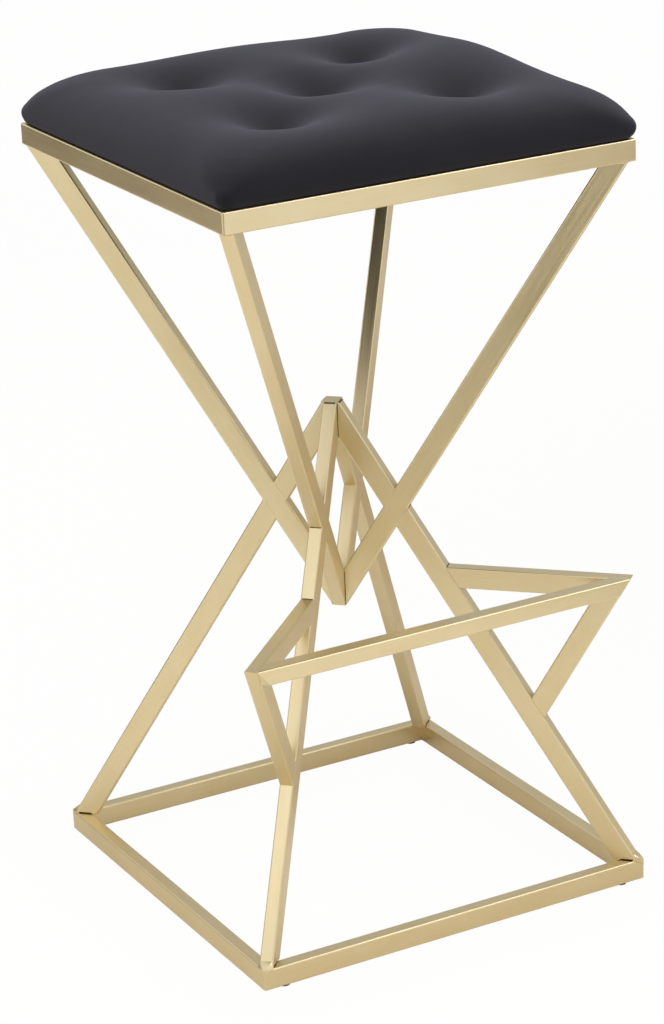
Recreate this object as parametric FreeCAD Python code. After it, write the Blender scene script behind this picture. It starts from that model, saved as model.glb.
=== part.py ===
"""Bar stool: a welded frame of rectangular steel tube with a tufted seat screwed on top.

Millimetres, +Z up, origin on the floor under the middle of the stool.
The footrest is on the front, at -Y. Every leg lies in one of the two upright diagonal planes,
so legs and footrest brackets are made once, in the plane y = 0 with the corner towards +X
(called the corner frame below), and turned to their corners.
"""
import FreeCAD, Part
import math
import os

Vec = FreeCAD.Vector
UP = Vec(0, 0, 1)

# Tube stock
tube_side = 20.0            # wide side
tube_thickness = 13.0       # narrow side
tube_wall = 1.2
tube_corner = 1.6           # outside corner radius
bore_corner = 0.4           # inside corner radius

# Rings
ring_width = 406.0          # outer width and depth of the seat ring and the base ring
seat_ring_top = 715.5       # top of the seat ring above the floor
ring_corner = 2.5           # radius that the ground mitre welds leave on the rings' upright edges

# Legs, in their diagonal planes
upper_toe_inset = 7.0       # from the seat ring's outer corner to the upper leg's outer face
upper_meet_height = 251.0   # where the outer faces of the upper legs would meet on the axis
lower_toe_inset = 5.5       # from the base ring's outer corner to the lower leg's outer face
lower_meet_height = 475.5   # where the outer faces of the lower legs would meet on the axis
point_flat = 13.0           # width of the flat under the lower point
apex_flat = 15.5            # width of the flat on the apex
cap_thickness = 1.5         # closing plates of the point and the apex
foot_slot_height = 1.3      # unwelded gap under the side walls of the lower legs
foot_slot_length = 15.0

# Footrest
footrest_height = 306.0     # top of the footrest above the floor
footrest_reach = 278.5      # from the axis to the bracket's tip, along the diagonal
strut_slope = 60.0          # degrees from level
footrest_tube = 15.0        # square tube of the bar
bar_end_wall = 3.0          # weld metal that closes the bar's ends

# Floor glides
glide_height = 1.5
glide_diameter = 11.0
glide_edge = 0.5            # radius of the rim that stands on the floor
glide_stem_diameter = 6.0
glide_stem_length = 6.0
glide_end_distance = 23.0   # from the ring's outer side face to the glide's axis

# Seat fixing
tab_length = 50.0
tab_depth = 32.0
tab_thickness = 2.5
tab_hole_distance = 21.0    # from the rail's inner face to the screw's axis
screw_diameter = 6.0
screw_clearance = 0.6
screw_head_diameter = 12.0
screw_head_height = 4.0
screw_head_round = 1.6
screw_length = 12.0
tee_barrel_diameter = 8.0
tee_flange_diameter = 18.0
tee_flange_thickness = 1.2
thread_clearance = 0.2

# Seat
cover_thickness = 1.0
hem_width = 27.0
board_thickness = 12.0
board_clearance = 0.6       # between the board's edge and the cover
dust_cover_thickness = 0.8
dust_cover_gap = 3.0        # from the seat ring's inner faces
dust_notch_gap = 2.0        # around the seat tabs
side_draw_in = 1.5          # how far the seat's foot stands inside the ring's outer face
side_bulge = 1.0            # how far its fullest line stands outside that face
bulge_height = 12.0
cushion_height = 57.0       # crown over the ring, before the tufts
crown_height_exponent = 3.4  # of the crown's profile, a superellipse
crown_width_exponent = 2.3
crown_steps = (0.0, 0.3, 0.55, 0.75, 0.88, 0.96)  # shares of the crown's height that it is lofted through
foot_corner = 10.0          # plan radius of the seat's corners at the ring
crown_corner = 62.0         # and at the top of the crown

# Tufts, one in the middle and four on the diagonals
tuft_spacing = 184.0        # between neighbouring outer tufts
tuft_radius = 46.0
tuft_depth = 25.0
tuft_rise = 0.8             # the tuft's rim over the crown, so that it runs out in a clean edge
tuft_pinch = 9.0            # radius at the bottom of a tuft
tie_diameter = 1.6
tie_hole_clearance = 0.4
tie_head_diameter = 6.0
tie_head_thickness = 1.0
tie_head_clearance = 0.1
tie_knot_diameter = 10.0
tie_knot_thickness = 2.5
tie_knot_recess = 3.0

# Staples that hold the dust cover
staple_crown = 10.0
staple_leg = 8.0
staple_wire = 0.6
staple_offsets = (-130.0, -65.0, 65.0, 130.0)
staple_inset = 6.0          # from the dust cover's edge

# Worked out from the sizes above
ring_half = ring_width / 2
ring_inner_half = ring_half - tube_thickness
corner_reach = ring_half * math.sqrt(2)
seat_ring_bottom = seat_ring_top - tube_side
base_ring_top = glide_height + tube_side
upper_toe = corner_reach - upper_toe_inset
lower_toe = corner_reach - lower_toe_inset
upper_slope = math.atan2(seat_ring_bottom - upper_meet_height, upper_toe)
lower_slope = math.atan2(lower_meet_height - base_ring_top, lower_toe)
point_height = upper_meet_height + math.tan(upper_slope) * point_flat / 2
apex_height = lower_meet_height - math.tan(lower_slope) * apex_flat / 2
far = 4 * max(ring_width, seat_ring_top)

quarter_turn = 90.0         # degrees
half_corner = quarter_turn / 2
SIDE_ANGLES = {"front": 0.0, "right": quarter_turn, "back": 2 * quarter_turn, "left": 3 * quarter_turn}
CORNER_ANGLES = {
    "front_left": SIDE_ANGLES["left"] - half_corner,
    "front_right": SIDE_ANGLES["left"] + half_corner,
    "back_right": SIDE_ANGLES["front"] + half_corner,
    "back_left": SIDE_ANGLES["right"] + half_corner,
}

parts = {}


def turned(shape, degrees):
    """A copy turned about the stool's axis."""
    copy = shape.copy()
    copy.rotate(Vec(0, 0, 0), UP, degrees)
    return copy


def placed(shape, origin, x_axis, z_axis):
    """A copy whose own X and Z axes lie along the given ones, at the given origin."""
    y_axis = z_axis.cross(x_axis)
    matrix = FreeCAD.Matrix(
        x_axis.x, y_axis.x, z_axis.x, origin.x,
        x_axis.y, y_axis.y, z_axis.y, origin.y,
        x_axis.z, y_axis.z, z_axis.z, origin.z,
        0, 0, 0, 1)
    copy = shape.copy()
    copy.Placement = FreeCAD.Placement(matrix).multiply(copy.Placement)
    return copy


def beyond(point, normal):
    """Everything on the side of a plane that its normal points to, as a block to cut with."""
    block = Part.makeBox(2 * far, 2 * far, far, Vec(-far, -far, 0))
    side = Vec(0, 1, 0) if abs(normal.y) < 0.9 else Vec(1, 0, 0)
    x_axis = side.cross(normal).normalize()
    return placed(block, point, x_axis, normal.normalize())


def rounded_wire(half_x, half_y, radius, height):
    """Rounded rectangle at a height: four lines and four quarter arcs."""
    edges = []
    bend = radius * math.sqrt(0.5)
    for quarter in range(4):
        width, depth = (half_x, half_y) if quarter % 2 == 0 else (half_y, half_x)
        low = Vec(width, -(depth - radius), height)
        high = Vec(width, depth - radius, height)
        middle = Vec(width - radius + bend, depth - radius + bend, height)
        end = Vec(width - radius, depth, height)
        side = [Part.LineSegment(low, high).toShape(), Part.Arc(high, middle, end).toShape()]
        for edge in side:
            edge.rotate(Vec(0, 0, 0), UP, 90.0 * quarter)
            edges.append(edge)
    return Part.Wire(Part.__sortEdges__(edges))


def rounded_plate(half_x, half_y, radius, bottom, thickness):
    """Plate with a rounded rectangular outline."""
    face = Part.Face(rounded_wire(half_x, half_y, radius, bottom))
    return face.extrude(Vec(0, 0, thickness))


def prism(width, depth, radius, inset, length):
    """Rounded bar along +Z, with its section from x = inset to width - inset, centred on y."""
    bar = rounded_plate(width / 2 - inset, depth / 2 - inset, radius, 0, length)
    bar.translate(Vec(width / 2, 0, 0))
    return bar


def tube(width, depth, length):
    """Open tube along +Z, with its outer face on x = 0."""
    bore = prism(width, depth, bore_corner, tube_wall, length)
    return prism(width, depth, tube_corner, 0, length).cut(bore)


def only(shape):
    """The single solid of a cut's result."""
    if len(shape.Solids) != 1:
        raise ValueError("expected one solid, found %d" % len(shape.Solids))
    return shape.Solids[0]


def ring_rail(bottom):
    """Front rail of a ring, mitred at both ends, its outer corners rounded with the ring's."""
    rail = tube(tube_thickness, tube_side, ring_width)
    rail = placed(rail, Vec(-ring_half, -ring_half, bottom + tube_side / 2), Vec(0, 1, 0), Vec(1, 0, 0))
    for sign in (-1, 1):
        rail = rail.cut(beyond(Vec(0, 0, 0), Vec(sign, 1, 0)))
    outline = rounded_plate(ring_half, ring_half, ring_corner, bottom, tube_side)
    return only(rail.common(outline))


def corner_wedge(shape):
    """Trims a leg in the corner frame to its own quarter around the stool's axis."""
    for sign in (-1, 1):
        shape = shape.cut(beyond(Vec(0, 0, 0), Vec(-1, sign, 0)))
    return shape


def upper_leg_faces():
    """A point on the upper leg's outer face, that face's outward direction and the leg's direction."""
    outward = Vec(math.sin(upper_slope), 0, -math.cos(upper_slope))
    along = Vec(math.cos(upper_slope), 0, math.sin(upper_slope))
    return Vec(0, 0, upper_meet_height), outward, along


def lower_leg_faces():
    """The same for the lower leg, whose direction runs up to the apex."""
    outward = Vec(math.sin(lower_slope), 0, math.cos(lower_slope))
    along = Vec(-math.cos(lower_slope), 0, math.sin(lower_slope))
    return Vec(lower_toe, 0, base_ring_top), outward, along


def upper_leg():
    """Leg from a seat ring corner down to the point, in the corner frame."""
    start, outward, along = upper_leg_faces()
    leg = placed(tube(tube_side, tube_thickness, far), start - along * tube_side, outward * -1, along)
    leg = leg.cut(beyond(Vec(0, 0, seat_ring_bottom), UP))
    leg = leg.cut(beyond(Vec(0, 0, point_height + cap_thickness), UP * -1))
    return only(corner_wedge(leg))


def lower_leg_pieces():
    """Lower leg in the corner frame, cut by the upper leg into a shank below and a strut to the apex."""
    start, outward, along = lower_leg_faces()
    overlap = 2 * tube_side
    leg = placed(tube(tube_side, tube_thickness, far), start - along * overlap, outward * -1, along)
    leg = leg.cut(beyond(Vec(0, 0, base_ring_top), UP * -1))
    leg = leg.cut(beyond(Vec(0, 0, apex_height - cap_thickness), UP))
    leg = corner_wedge(leg)
    face, face_out, _ = upper_leg_faces()
    shank = leg.cut(beyond(face, face_out * -1))
    foot_length = tube_side / math.sin(lower_slope)
    slot = Part.makeBox(foot_slot_length, 2 * tube_thickness, foot_slot_height)
    slot.translate(Vec(lower_toe - (foot_length + foot_slot_length) / 2, -tube_thickness, base_ring_top))
    strut = leg.cut(beyond(face - face_out * tube_side, face_out))
    return only(shank.cut(slot)), only(strut)


def footrest_bracket():
    """Level arm and sloping strut of a footrest bracket, mitred at the tip, in the corner frame."""
    slope = math.radians(strut_slope)
    tip = Vec(footrest_reach, 0, footrest_height)
    leg_face, leg_out, _ = lower_leg_faces()
    inside_leg = beyond(leg_face, leg_out * -1)
    mitre = Vec(math.sin(slope / 2), 0, -math.cos(slope / 2))
    arm = placed(tube(tube_side, tube_thickness, far), tip + Vec(tube_side, 0, 0), UP * -1, Vec(-1, 0, 0))
    arm = arm.cut(beyond(tip, mitre)).cut(inside_leg)
    along = Vec(-math.cos(slope), 0, -math.sin(slope))
    inward = Vec(-math.sin(slope), 0, math.cos(slope))
    strut = placed(tube(tube_side, tube_thickness, far), tip - along * tube_side, inward, along)
    strut = strut.cut(beyond(tip, mitre * -1)).cut(inside_leg)
    return only(arm), only(strut)


def footrest_bar():
    """Square bar between the two brackets, its ends cut to the arms' sides and the struts' outer faces."""
    slope = math.radians(strut_slope)
    front = -(footrest_reach + tube_thickness / 2) * math.sqrt(0.5)
    origin = Vec(-ring_half, front, footrest_height - footrest_tube / 2)
    bar = prism(footrest_tube, footrest_tube, tube_corner, 0, ring_width)
    bar = placed(bar, origin, Vec(0, 1, 0), Vec(1, 0, 0))
    bore = prism(footrest_tube, footrest_tube, bore_corner, tube_wall, ring_width)
    bore = placed(bore, origin, Vec(0, 1, 0), Vec(1, 0, 0))
    for sign in (-1, 1):
        corner = Vec(sign, -1, 0).normalize()
        across = Vec(-sign, -1, 0).normalize()
        strut_out = corner * math.sin(slope) - UP * math.cos(slope)
        tip = corner * footrest_reach + UP * footrest_height
        arm_side = across * (tube_thickness / 2)
        bar = bar.cut(beyond(arm_side, across * -1)).cut(beyond(tip, strut_out))
        bore = bore.cut(beyond(arm_side + across * bar_end_wall, across * -1))
        bore = bore.cut(beyond(tip - strut_out * bar_end_wall, strut_out))
    return only(bar.cut(bore))


def closing_plate(width, bottom):
    """Square plate that closes the meeting ends of four legs, set along the diagonals."""
    plate = Part.makeBox(width, width, cap_thickness, Vec(-width / 2, -width / 2, bottom))
    return turned(plate, 45.0)


def disc(x, y, bottom, diameter, height):
    """Upright round bar."""
    return Part.makeCylinder(diameter / 2, height, Vec(x, y, bottom))


def glide_places():
    """Axes of the four floor glides, on the front and back rails."""
    along = ring_half - glide_end_distance
    across = ring_half - tube_thickness / 2
    places = {}
    for row, y in (("front", -across), ("back", across)):
        for column, x in (("left", -along), ("right", along)):
            places[row + "_" + column] = (x, y)
    return places


def floor_glide(x, y):
    """Plastic glide with its stem pressed into the rail's underside."""
    stem = disc(x, y, glide_height, glide_stem_diameter, glide_stem_length)
    head = disc(x, y, 0, glide_diameter, glide_height)
    rim = [edge for edge in head.Edges if edge.BoundBox.ZMax < glide_height / 2]
    return head.makeFillet(glide_edge, rim).fuse(stem).removeSplitter()


def seat_tab():
    """Plate welded inside the front rail, level with the seat ring's top, with a hole for a screw."""
    plate = Part.makeBox(tab_length, tab_depth, tab_thickness)
    plate.translate(Vec(-tab_length / 2, -ring_inner_half, seat_ring_top - tab_thickness))
    hole_diameter = screw_diameter + screw_clearance
    hole = disc(0, -screw_line(), seat_ring_top - tab_thickness, hole_diameter, tab_thickness)
    return plate.cut(hole)


def screw_line():
    """Distance of the seat screws from the stool's axis."""
    return ring_inner_half - tab_hole_distance


def seat_screw():
    """Pan-head screw through the front tab into its tee nut."""
    seat = seat_ring_top - tab_thickness
    head = disc(0, -screw_line(), seat - screw_head_height, screw_head_diameter, screw_head_height)
    rim = [edge for edge in head.Edges if edge.BoundBox.ZMax < seat - screw_head_height / 2]
    head = head.makeFillet(screw_head_round, rim)
    return head.fuse(disc(0, -screw_line(), seat, screw_diameter, screw_length)).removeSplitter()


def tee_nut(bore):
    """Tee nut let into the board's upper face over the front tab; without its bore it cuts the board."""
    top = board_bottom() + board_thickness
    barrel_length = board_thickness - tee_flange_thickness
    nut = disc(0, -screw_line(), board_bottom(), tee_barrel_diameter, barrel_length)
    flange = disc(0, -screw_line(), top - tee_flange_thickness, tee_flange_diameter, tee_flange_thickness)
    nut = nut.fuse(flange).removeSplitter()
    if bore:
        thread = disc(0, -screw_line(), board_bottom(), screw_diameter + thread_clearance, board_thickness)
        nut = nut.cut(thread)
    return nut


def board_bottom():
    """Height of the seat board's underside: it lies on the hem of the cover."""
    return seat_ring_top + cover_thickness


def cushion_blank(inset):
    """Crowned seat with drawn-in sides, set in all over by the given amount, before its tufts."""
    half = ring_half + side_bulge
    wires = []
    foot_half = ring_half - side_draw_in - inset
    wires.append(rounded_wire(foot_half, foot_half, foot_corner - inset, seat_ring_top + inset))
    rise = cushion_height - bulge_height
    for step in crown_steps:
        width = half * (1 - step ** crown_height_exponent) ** (1 / crown_width_exponent) - inset
        corner = foot_corner + (crown_corner - foot_corner) * step - inset
        height = seat_ring_top + bulge_height + rise * step - inset * step
        wires.append(rounded_wire(width, width, corner, height))
    return Part.makeLoft(wires, True, False)


def tuft_cutter(inset):
    """Bell that presses one tuft into the crown: a tight bottom arc running into a wide rim arc."""
    turn = 2 * math.atan2(tuft_depth, tuft_radius)
    rim_radius = tuft_radius / math.sin(turn) - tuft_pinch - inset
    pinch = tuft_pinch + inset
    bottom = tuft_bottom() - inset
    top = seat_ring_top + cushion_height + tuft_depth

    def on_pinch(angle):
        return Vec(pinch * math.sin(angle), 0, bottom + pinch * (1 - math.cos(angle)))

    def on_rim(angle):
        fall = rim_radius * (1 - math.cos(angle))
        return Vec(tuft_radius - rim_radius * math.sin(angle), 0, bottom + tuft_depth - fall)

    edges = [
        Part.Arc(on_pinch(0), on_pinch(turn / 2), on_pinch(turn)).toShape(),
        Part.Arc(on_rim(turn), on_rim(turn / 2), on_rim(0)).toShape(),
        Part.LineSegment(on_rim(0), Vec(tuft_radius, 0, top)).toShape(),
        Part.LineSegment(Vec(tuft_radius, 0, top), Vec(0, 0, top)).toShape(),
        Part.LineSegment(Vec(0, 0, top), on_pinch(0)).toShape(),
    ]
    return Part.Face(Part.Wire(edges)).revolve(Vec(0, 0, 0), UP, 360)


def tuft_bottom():
    """Height of the cover's face at the bottom of a tuft."""
    crown = bulge_height + (cushion_height - bulge_height) * crown_steps[-1]
    return seat_ring_top + crown + tuft_rise - tuft_depth


def tuft_places():
    """The middle of the seat and the four outer tufts."""
    step = tuft_spacing / 2
    return [(0, 0), (-step, -step), (step, -step), (step, step), (-step, step)]


def at_tufts(shape):
    """Copies of a shape made on the axis, one at each tuft."""
    copies = []
    for x, y in tuft_places():
        copy = shape.copy()
        copy.translate(Vec(x, y, 0))
        copies.append(copy)
    return copies


def cushion_body(inset):
    """The seat's tufted form, set in by the given amount."""
    return only(cushion_blank(inset).cut(at_tufts(tuft_cutter(inset))))


def tie_holes(bottom, top):
    """Holes for the tuft ties between two heights."""
    return at_tufts(disc(0, 0, bottom, tie_diameter + tie_hole_clearance, top - bottom))


def tuft_tie():
    """Twine from the stitch in a tuft's bottom, through the foam and the board, to its knot."""
    head_radius = tie_head_diameter / 2
    bowl_rise = tuft_pinch - math.sqrt(tuft_pinch ** 2 - head_radius ** 2)
    seat = tuft_bottom() + bowl_rise + tie_head_clearance
    knot_top = board_bottom() + tie_knot_recess
    head = disc(0, 0, seat, tie_head_diameter, tie_head_thickness)
    stem = disc(0, 0, knot_top, tie_diameter, seat - knot_top)
    knot = disc(0, 0, knot_top - tie_knot_thickness, tie_knot_diameter, tie_knot_thickness)
    return head.fuse([stem, knot]).removeSplitter()


def staple():
    """One staple under the front edge of the dust cover, its legs up into the board."""
    line = -(ring_inner_half - dust_cover_gap - staple_inset)
    top = seat_ring_top - dust_cover_thickness
    crown = Part.makeBox(staple_crown, 2 * staple_wire, staple_wire)
    crown.translate(Vec(-staple_crown / 2, line - staple_wire, top - staple_wire))
    legs = []
    for sign in (-1, 1):
        leg = Part.makeBox(staple_wire, 2 * staple_wire, staple_leg)
        leg.translate(Vec(sign * (staple_crown - staple_wire) / 2 - staple_wire / 2, line - staple_wire, top))
        legs.append(leg)
    return crown.fuse(legs).removeSplitter()


def all_staples():
    """Staples along the four sides."""
    copies = []
    for angle in SIDE_ANGLES.values():
        for offset in staple_offsets:
            copy = staple()
            copy.translate(Vec(offset, 0, 0))
            copies.append(turned(copy, angle))
    return copies


def make_frame():
    """Rings, legs, footrest and their closing plates."""
    seat_rail = ring_rail(seat_ring_bottom)
    base_rail = ring_rail(glide_height)
    stem_holes = []
    for x, y in glide_places().values():
        stem_holes.append(disc(x, y, glide_height, glide_stem_diameter, tube_side / 2))
    for side, angle in SIDE_ANGLES.items():
        parts["seat_ring_" + side] = turned(seat_rail, angle)
        rail = turned(base_rail, angle)
        parts["base_ring_" + side] = only(rail.cut(stem_holes)) if side in ("front", "back") else rail
        parts["seat_tab_" + side] = turned(seat_tab(), angle)
    leg = upper_leg()
    shank, strut = lower_leg_pieces()
    for corner, angle in CORNER_ANGLES.items():
        parts["upper_leg_" + corner] = turned(leg, angle)
        parts["lower_leg_" + corner] = turned(shank, angle)
        parts["apex_strut_" + corner] = turned(strut, angle)
    parts["point_plate"] = closing_plate(point_flat, point_height)
    parts["apex_plate"] = closing_plate(apex_flat, apex_height - cap_thickness)
    arm, bracket_strut = footrest_bracket()
    for side in ("left", "right"):
        angle = CORNER_ANGLES["front_" + side]
        parts["footrest_arm_" + side] = turned(arm, angle)
        parts["footrest_strut_" + side] = turned(bracket_strut, angle)
    parts["footrest_bar"] = footrest_bar()
    for place, (x, y) in glide_places().items():
        parts["floor_glide_" + place] = floor_glide(x, y)


def make_seat():
    """Board, foam, cover, ties, dust cover and the fasteners."""
    nuts = [turned(tee_nut(True), angle) for angle in SIDE_ANGLES.values()]
    nut_seats = [turned(tee_nut(False), angle) for angle in SIDE_ANGLES.values()]
    screws = [turned(seat_screw(), angle) for angle in SIDE_ANGLES.values()]
    staples = all_staples()
    board_top = board_bottom() + board_thickness

    hem_half = ring_half - side_draw_in - hem_width
    body = cushion_body(0)
    filling = cushion_body(cover_thickness)
    hem_opening = rounded_plate(hem_half, hem_half, foot_corner, seat_ring_top, cover_thickness)
    cover_holes = tie_holes(seat_ring_top, tuft_bottom() + cover_thickness)
    cover = body.cut([filling, hem_opening] + cover_holes + staples)
    parts["seat_cover"] = only(cover)

    board_half = ring_half - side_draw_in - cover_thickness - board_clearance
    board = rounded_plate(board_half, board_half, foot_corner, board_bottom(), board_thickness)
    knots = at_tufts(disc(0, 0, board_bottom(), tie_knot_diameter, tie_knot_recess))
    board = board.cut(nut_seats + knots + tie_holes(board_bottom(), board_top) + staples)
    parts["seat_board"] = only(board)

    below_foam = beyond(Vec(0, 0, board_top), UP * -1)
    foam = filling.cut([below_foam] + tie_holes(board_top, tuft_bottom()))
    parts["seat_foam"] = only(foam)

    dust_half = ring_inner_half - dust_cover_gap
    dust_bottom = seat_ring_top - dust_cover_thickness
    dust = rounded_plate(dust_half, dust_half, foot_corner, dust_bottom, dust_cover_thickness)
    notch = Part.makeBox(tab_length + 2 * dust_notch_gap, tab_depth + dust_notch_gap, dust_cover_thickness)
    notch.translate(Vec(-tab_length / 2 - dust_notch_gap, -ring_inner_half, dust_bottom))
    notches = [turned(notch, angle) for angle in SIDE_ANGLES.values()]
    parts["dust_cover"] = only(dust.cut(notches + staples))

    parts["tuft_ties"] = Part.makeCompound(at_tufts(tuft_tie()))
    parts["tee_nuts"] = Part.makeCompound(nuts)
    parts["seat_screws"] = Part.makeCompound(screws)
    parts["staples"] = Part.makeCompound(staples)


def main():
    os.makedirs("parts", exist_ok=True)
    make_frame()
    make_seat()
    for name, shape in parts.items():
        if not shape.isValid():
            raise ValueError(name + " is not a valid shape")
        shape.exportStep("parts/" + name + ".step")
    print(len(parts), "nodes")


main()
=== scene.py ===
"""Looks of a square bar stool: a welded, brushed gold tube frame and a tufted velvet seat.

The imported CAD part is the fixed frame, and every piece here is placed by it. All places are in metres in
the CAD frame: +Z up, the footrest on the -Y side, the origin on the floor under the middle of the seat.
"""

import math
import random

import bmesh
import bpy
from mathutils import Matrix, Vector


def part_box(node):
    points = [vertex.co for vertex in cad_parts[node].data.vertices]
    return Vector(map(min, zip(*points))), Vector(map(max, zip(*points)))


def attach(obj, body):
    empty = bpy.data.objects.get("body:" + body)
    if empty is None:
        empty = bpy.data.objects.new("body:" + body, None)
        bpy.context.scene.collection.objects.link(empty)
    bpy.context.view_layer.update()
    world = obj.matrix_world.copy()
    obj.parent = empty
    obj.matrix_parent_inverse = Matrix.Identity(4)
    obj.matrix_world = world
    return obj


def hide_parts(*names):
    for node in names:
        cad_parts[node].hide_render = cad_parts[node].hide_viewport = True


bl_info = {
    "name": "Tufted Bar Stool",
    "version": (1, 0, 0),
    "blender": (4, 5, 0),
    "location": "3D View > Sidebar > Stool",
    "description": "Dresses the CAD frame of a square bar stool with brushed gold, velvet and studio light",
    "category": "Object",
}

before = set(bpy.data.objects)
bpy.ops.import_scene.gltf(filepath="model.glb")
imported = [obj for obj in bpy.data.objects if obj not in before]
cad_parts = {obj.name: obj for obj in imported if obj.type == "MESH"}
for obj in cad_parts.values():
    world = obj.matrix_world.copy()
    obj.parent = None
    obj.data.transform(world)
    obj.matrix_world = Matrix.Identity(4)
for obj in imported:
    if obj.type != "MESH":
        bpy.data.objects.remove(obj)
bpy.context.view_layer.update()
BODY = "root"
MM = 0.001

RING_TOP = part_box("seat_ring_front")[1].z
RING_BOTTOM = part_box("seat_ring_front")[0].z
RING_HALF = -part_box("seat_ring_front")[0].y
TUBE_HALF = RING_HALF / 2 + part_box("seat_ring_front")[1].y / 2
BASE_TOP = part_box("base_ring_front")[1].z
BOARD_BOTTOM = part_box("seat_board")[0].z
BOARD_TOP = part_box("seat_board")[1].z

UP = Vector((0, 0, 1))
CORNERS = {"front_left": (-1, -1), "front_right": (1, -1), "back_right": (1, 1), "back_left": (-1, 1)}
GOLD_NODES = ("seat_ring", "base_ring", "seat_tab", "upper_leg", "lower_leg",
              "apex_", "point_", "footrest_")
COLOUR = {"subtype": "COLOR", "size": 3, "min": 0, "max": 1}


def linear(code):
    """Scene-linear colour of an sRGB hex value."""
    shares = [int(code[i:i + 2], 16) / 255 for i in (1, 3, 5)]
    return tuple(s / 12.92 if s <= 0.04045 else ((s + 0.055) / 1.055) ** 2.4 for s in shares)


class StoolFrameSettings(bpy.types.PropertyGroup):
    """Finish of the welded frame."""

    gold_light: bpy.props.FloatVectorProperty(
        name="Light gold", description="Plating where the brushing left it brightest",
        default=linear("#eadcb9"), **COLOUR)
    gold_deep: bpy.props.FloatVectorProperty(
        name="Deep gold", description="Plating between the brush lines",
        default=linear("#dcc898"), **COLOUR)
    brush_width: bpy.props.FloatProperty(
        name="Brush line width", description="Width of one drawn brush line",
        unit="LENGTH", default=1.6 * MM)
    brush_length: bpy.props.FloatProperty(
        name="Brush line length", description="Length of one drawn brush line",
        unit="LENGTH", default=90 * MM)
    weld_leg: bpy.props.FloatProperty(
        name="Weld leg", description="How far a ground weld reaches along each face of its corner",
        unit="LENGTH", default=2.4 * MM)


class StoolSeatSettings(bpy.types.PropertyGroup):
    """Sizes and colours of the seat."""

    crown: bpy.props.FloatProperty(
        name="Crown", description="Height of the cushion's crown over the ring, before the tufts",
        unit="LENGTH", default=57.5 * MM)
    bulge: bpy.props.FloatProperty(
        name="Bulge", description="How far the cushion's fullest line stands outside the ring",
        unit="LENGTH", default=2.4 * MM)
    bulge_height: bpy.props.FloatProperty(
        name="Bulge height", description="Height of the cushion's fullest line over the ring",
        unit="LENGTH", default=15 * MM)
    foot_inset: bpy.props.FloatProperty(
        name="Foot inset", description="How far the cushion's foot stands inside the ring's outer face",
        unit="LENGTH", default=0.6 * MM)
    tuft_spacing: bpy.props.FloatProperty(
        name="Tuft spacing", description="Distance between neighbouring outer tufts",
        unit="LENGTH", default=182 * MM)
    hollow_depth: bpy.props.FloatProperty(
        name="Hollow depth", description="Depth of the wide hollow that a tuft draws into the filling",
        unit="LENGTH", default=22.9 * MM)
    hollow_radius: bpy.props.FloatProperty(
        name="Hollow radius", description="Radius that sets how wide that hollow is",
        unit="LENGTH", default=74.6 * MM)
    pinch_depth: bpy.props.FloatProperty(
        name="Pinch depth", description="How much deeper the cover is pinched at the stitch",
        unit="LENGTH", default=12.5 * MM)
    pinch_radius: bpy.props.FloatProperty(
        name="Pinch radius", description="Radius over which the pinch fades out",
        unit="LENGTH", default=19 * MM)
    velvet: bpy.props.FloatVectorProperty(
        name="Velvet", description="Dye of the pile, seen straight on",
        default=linear("#131315"), **COLOUR)
    pile_shine: bpy.props.FloatVectorProperty(
        name="Pile shine", description="Colour of the shine on pile seen along the surface",
        default=linear("#bab8ca"), **COLOUR)
    twine: bpy.props.FloatProperty(
        name="Twine", description="Thickness of the twine that ties the tufts",
        unit="LENGTH", default=1.6 * MM)
    dust_sag: bpy.props.FloatProperty(
        name="Dust cover sag", description="How far the dust cover hangs in its middle",
        unit="LENGTH", default=1.6 * MM)


class StoolStageSettings(bpy.types.PropertyGroup):
    """Floor and light."""

    floor: bpy.props.FloatVectorProperty(
        name="Floor", description="Colour of the studio floor",
        default=linear("#f4f0e6"), **COLOUR)
    floor_shade: bpy.props.FloatVectorProperty(
        name="Floor shade", description="Colour of the floor where it lies in soft shade",
        default=linear("#bfab8b"), **COLOUR)
    floor_bounce: bpy.props.FloatVectorProperty(
        name="Floor bounce", description="Colour of the light that the floor throws up",
        default=linear("#b8b2a6"), **COLOUR)
    sky: bpy.props.FloatProperty(
        name="Sky light", description="Strength of the light from the sky above", default=0.8)
    key: bpy.props.FloatProperty(
        name="Key light", description="Power of the large soft lamp above", default=69)


def node(tree, kind, inputs=None, **settings):
    """Adds a node: settings are its own options, inputs are values or the sockets that feed it."""
    made = tree.nodes.new(kind)
    for name, value in settings.items():
        setattr(made, name, value)
    for name, value in (inputs or {}).items():
        if isinstance(value, bpy.types.NodeSocket):
            tree.links.new(value, made.inputs[name])
        else:
            made.inputs[name].default_value = value
    return made


def rgba(colour):
    """A colour socket's four numbers."""
    return (colour[0], colour[1], colour[2], 1.0)


def blank_material(name):
    """A material with only its output, and that output."""
    material = bpy.data.materials.new(name)
    material.use_nodes = True
    material.node_tree.nodes.clear()
    return material, material.node_tree, node(material.node_tree, "ShaderNodeOutputMaterial")


def add_piece(name, mesh, material):
    """Links a new piece of the stool, smooth shaded, that rides with the frame."""
    mesh.materials.append(material)
    mesh.shade_smooth()
    piece = bpy.data.objects.new(name, mesh)
    bpy.context.scene.collection.objects.link(piece)
    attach(piece, BODY)
    return piece


def dress(names, material):
    """Gives CAD nodes a better material in their own slots."""
    for name in names:
        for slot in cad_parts[name].material_slots:
            slot.material = material


def corner_ways():
    """Each corner's name, the way out to it and the level way square to that."""
    for name, (sign_x, sign_y) in CORNERS.items():
        out = Vector((sign_x, sign_y, 0)).normalized()
        yield name, out, UP.cross(out)


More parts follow.
